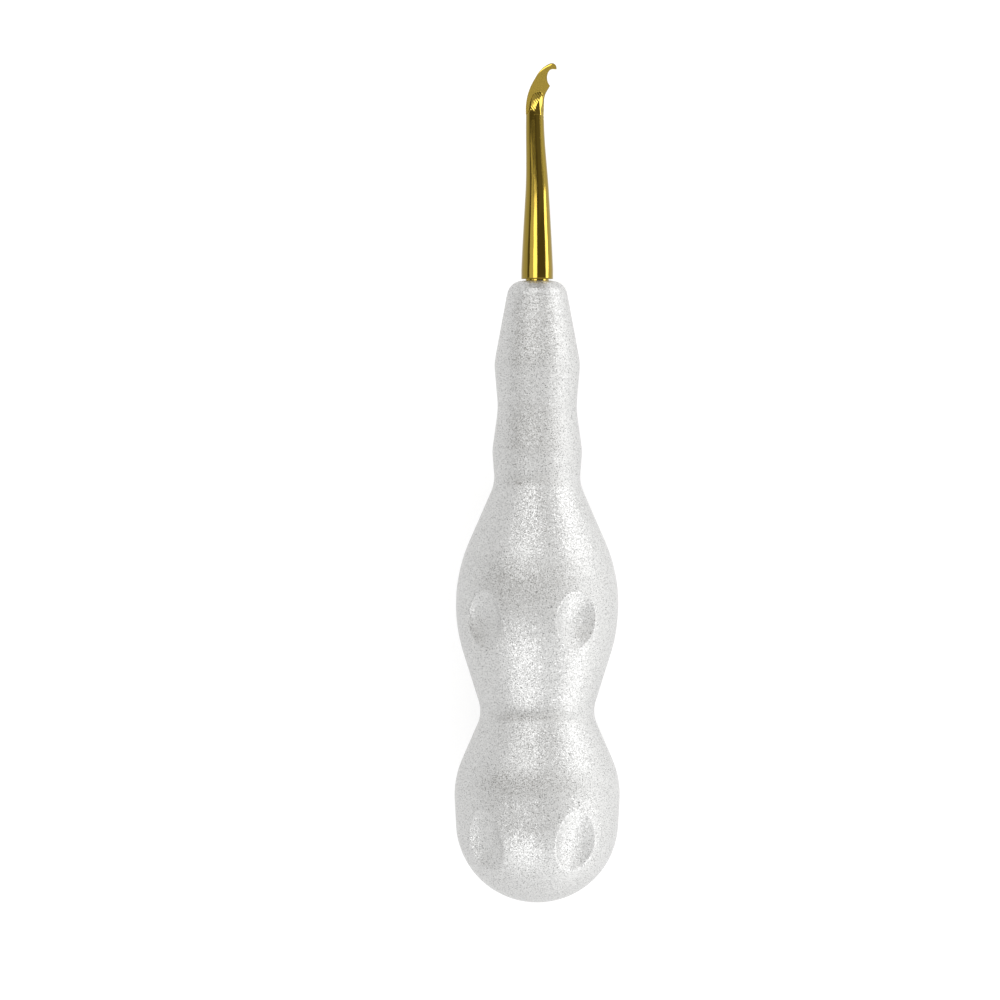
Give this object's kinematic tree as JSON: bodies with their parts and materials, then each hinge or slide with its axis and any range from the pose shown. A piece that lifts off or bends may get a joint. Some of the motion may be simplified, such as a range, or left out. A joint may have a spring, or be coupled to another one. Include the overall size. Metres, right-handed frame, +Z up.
{
  "type": "periotome",
  "caption": "Dental periotome with a hooked, gold-coated steel blade set in a turned, dimpled metal handle.",
  "frame": {"origin": "middle of the box round the instrument in plan, at the height of what it lies on", "axes": "+Y along the handle towards the blade, less than 2 degrees off its axis, +Z up through the blade's front face, +X to the side the hook points to"},
  "size_m": [0.0312, 0.159, 0.0312],
  "materials": {
    "blasted_metal": "fine bead-blasted silver white",
    "gold_coat": "mirror polished under a gold-coloured hard coat"
  },
  "bodies": {
    "root": {"handle": "blasted_metal", "blade_shank": "gold_coat"}
  },
  "joints": []
}
